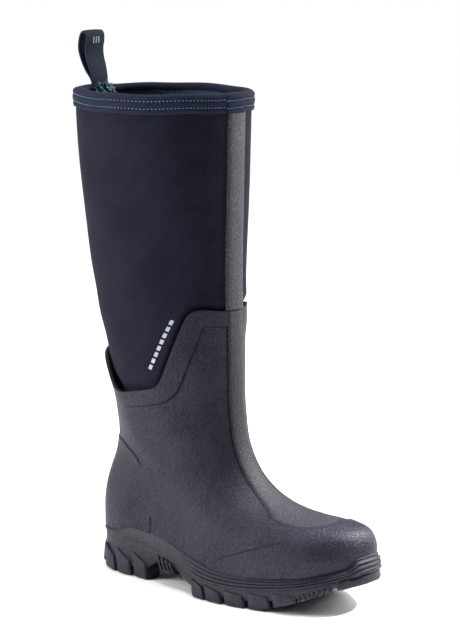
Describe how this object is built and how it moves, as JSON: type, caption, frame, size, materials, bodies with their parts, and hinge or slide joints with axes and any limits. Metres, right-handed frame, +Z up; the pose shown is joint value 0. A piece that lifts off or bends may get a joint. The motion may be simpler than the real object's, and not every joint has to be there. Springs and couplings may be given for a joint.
{
  "type": "tall neoprene yard boot",
  "caption": "Knee-high right boot: neoprene shaft, moulded rubber foot, lugged sole, bound cuff and folding webbing pull loop.",
  "frame": {"origin": "ground plane under the middle of the whole boot's box", "axes": "+Z up the leg, toe towards -Y, heel towards +Y, outer side of the leg towards -X, inner side towards +X"},
  "size_m": [0.1386, 0.3112, 0.475],
  "materials": {
    "shell_rubber": "matte charcoal rubber with a fine sandblasted grain",
    "sole_rubber": "matte charcoal rubber, smoother than the shell",
    "neoprene_knit": "dark navy knitted face on neoprene foam",
    "speckled_strip": "mid-grey rubber strip with a coarse speckled grain",
    "binding_cloth": "navy stretch binding",
    "loop_webbing": "navy woven webbing",
    "lining_mesh": "navy spacer mesh with light blue ribs",
    "thread_blue": "light blue sewing thread",
    "foam": "grey cushioning foam",
    "board": "fibre lasting board",
    "steel": "plain sprung steel"
  },
  "bodies": {
    "boot": {"outsole": "sole_rubber", "midsole": "sole_rubber", "rand": "sole_rubber", "rubber_shell": "shell_rubber", "toe_cap": "shell_rubber", "heel_counter": "shell_rubber", "instep_strip": "shell_rubber", "collar_band": "shell_rubber", "shaft_panel_outer": "neoprene_knit", "shaft_panel_inner": "neoprene_knit", "neoprene_foot": "neoprene_knit", "mesh_lining": "lining_mesh", "lining_seam_tape": "binding_cloth", "back_seam_tape": "binding_cloth", "shin_strip": "speckled_strip", "cuff_binding": "binding_cloth", "cuff_thread_upper": "thread_blue", "cuff_thread_lower": "thread_blue", "loop_tail": "loop_webbing", "loop_bartack": "thread_blue", "lasting_board": "board", "shank_plate": "steel"},
    "pull_loop": {"pull_loop": "loop_webbing"},
    "footbed": {"footbed_foam": "foam", "footbed_cover": "lining_mesh", "heel_cushion": "foam"}
  },
  "joints": [
    {"name": "pull_loop_fold", "type": "hinge", "parent": "boot", "child": "pull_loop", "pos_m": [0, 0.1391, 0.4296], "axis": [1, 0, 0], "range_deg": [-55, 50], "stiffness_Nm_per_rad": 0.03},
    {"name": "footbed_lift", "type": "hinge", "parent": "boot", "child": "footbed", "pos_m": [0, -0.1389, 0.039], "axis": [1, 0, 0], "range_deg": [0, 8]}
  ]
}
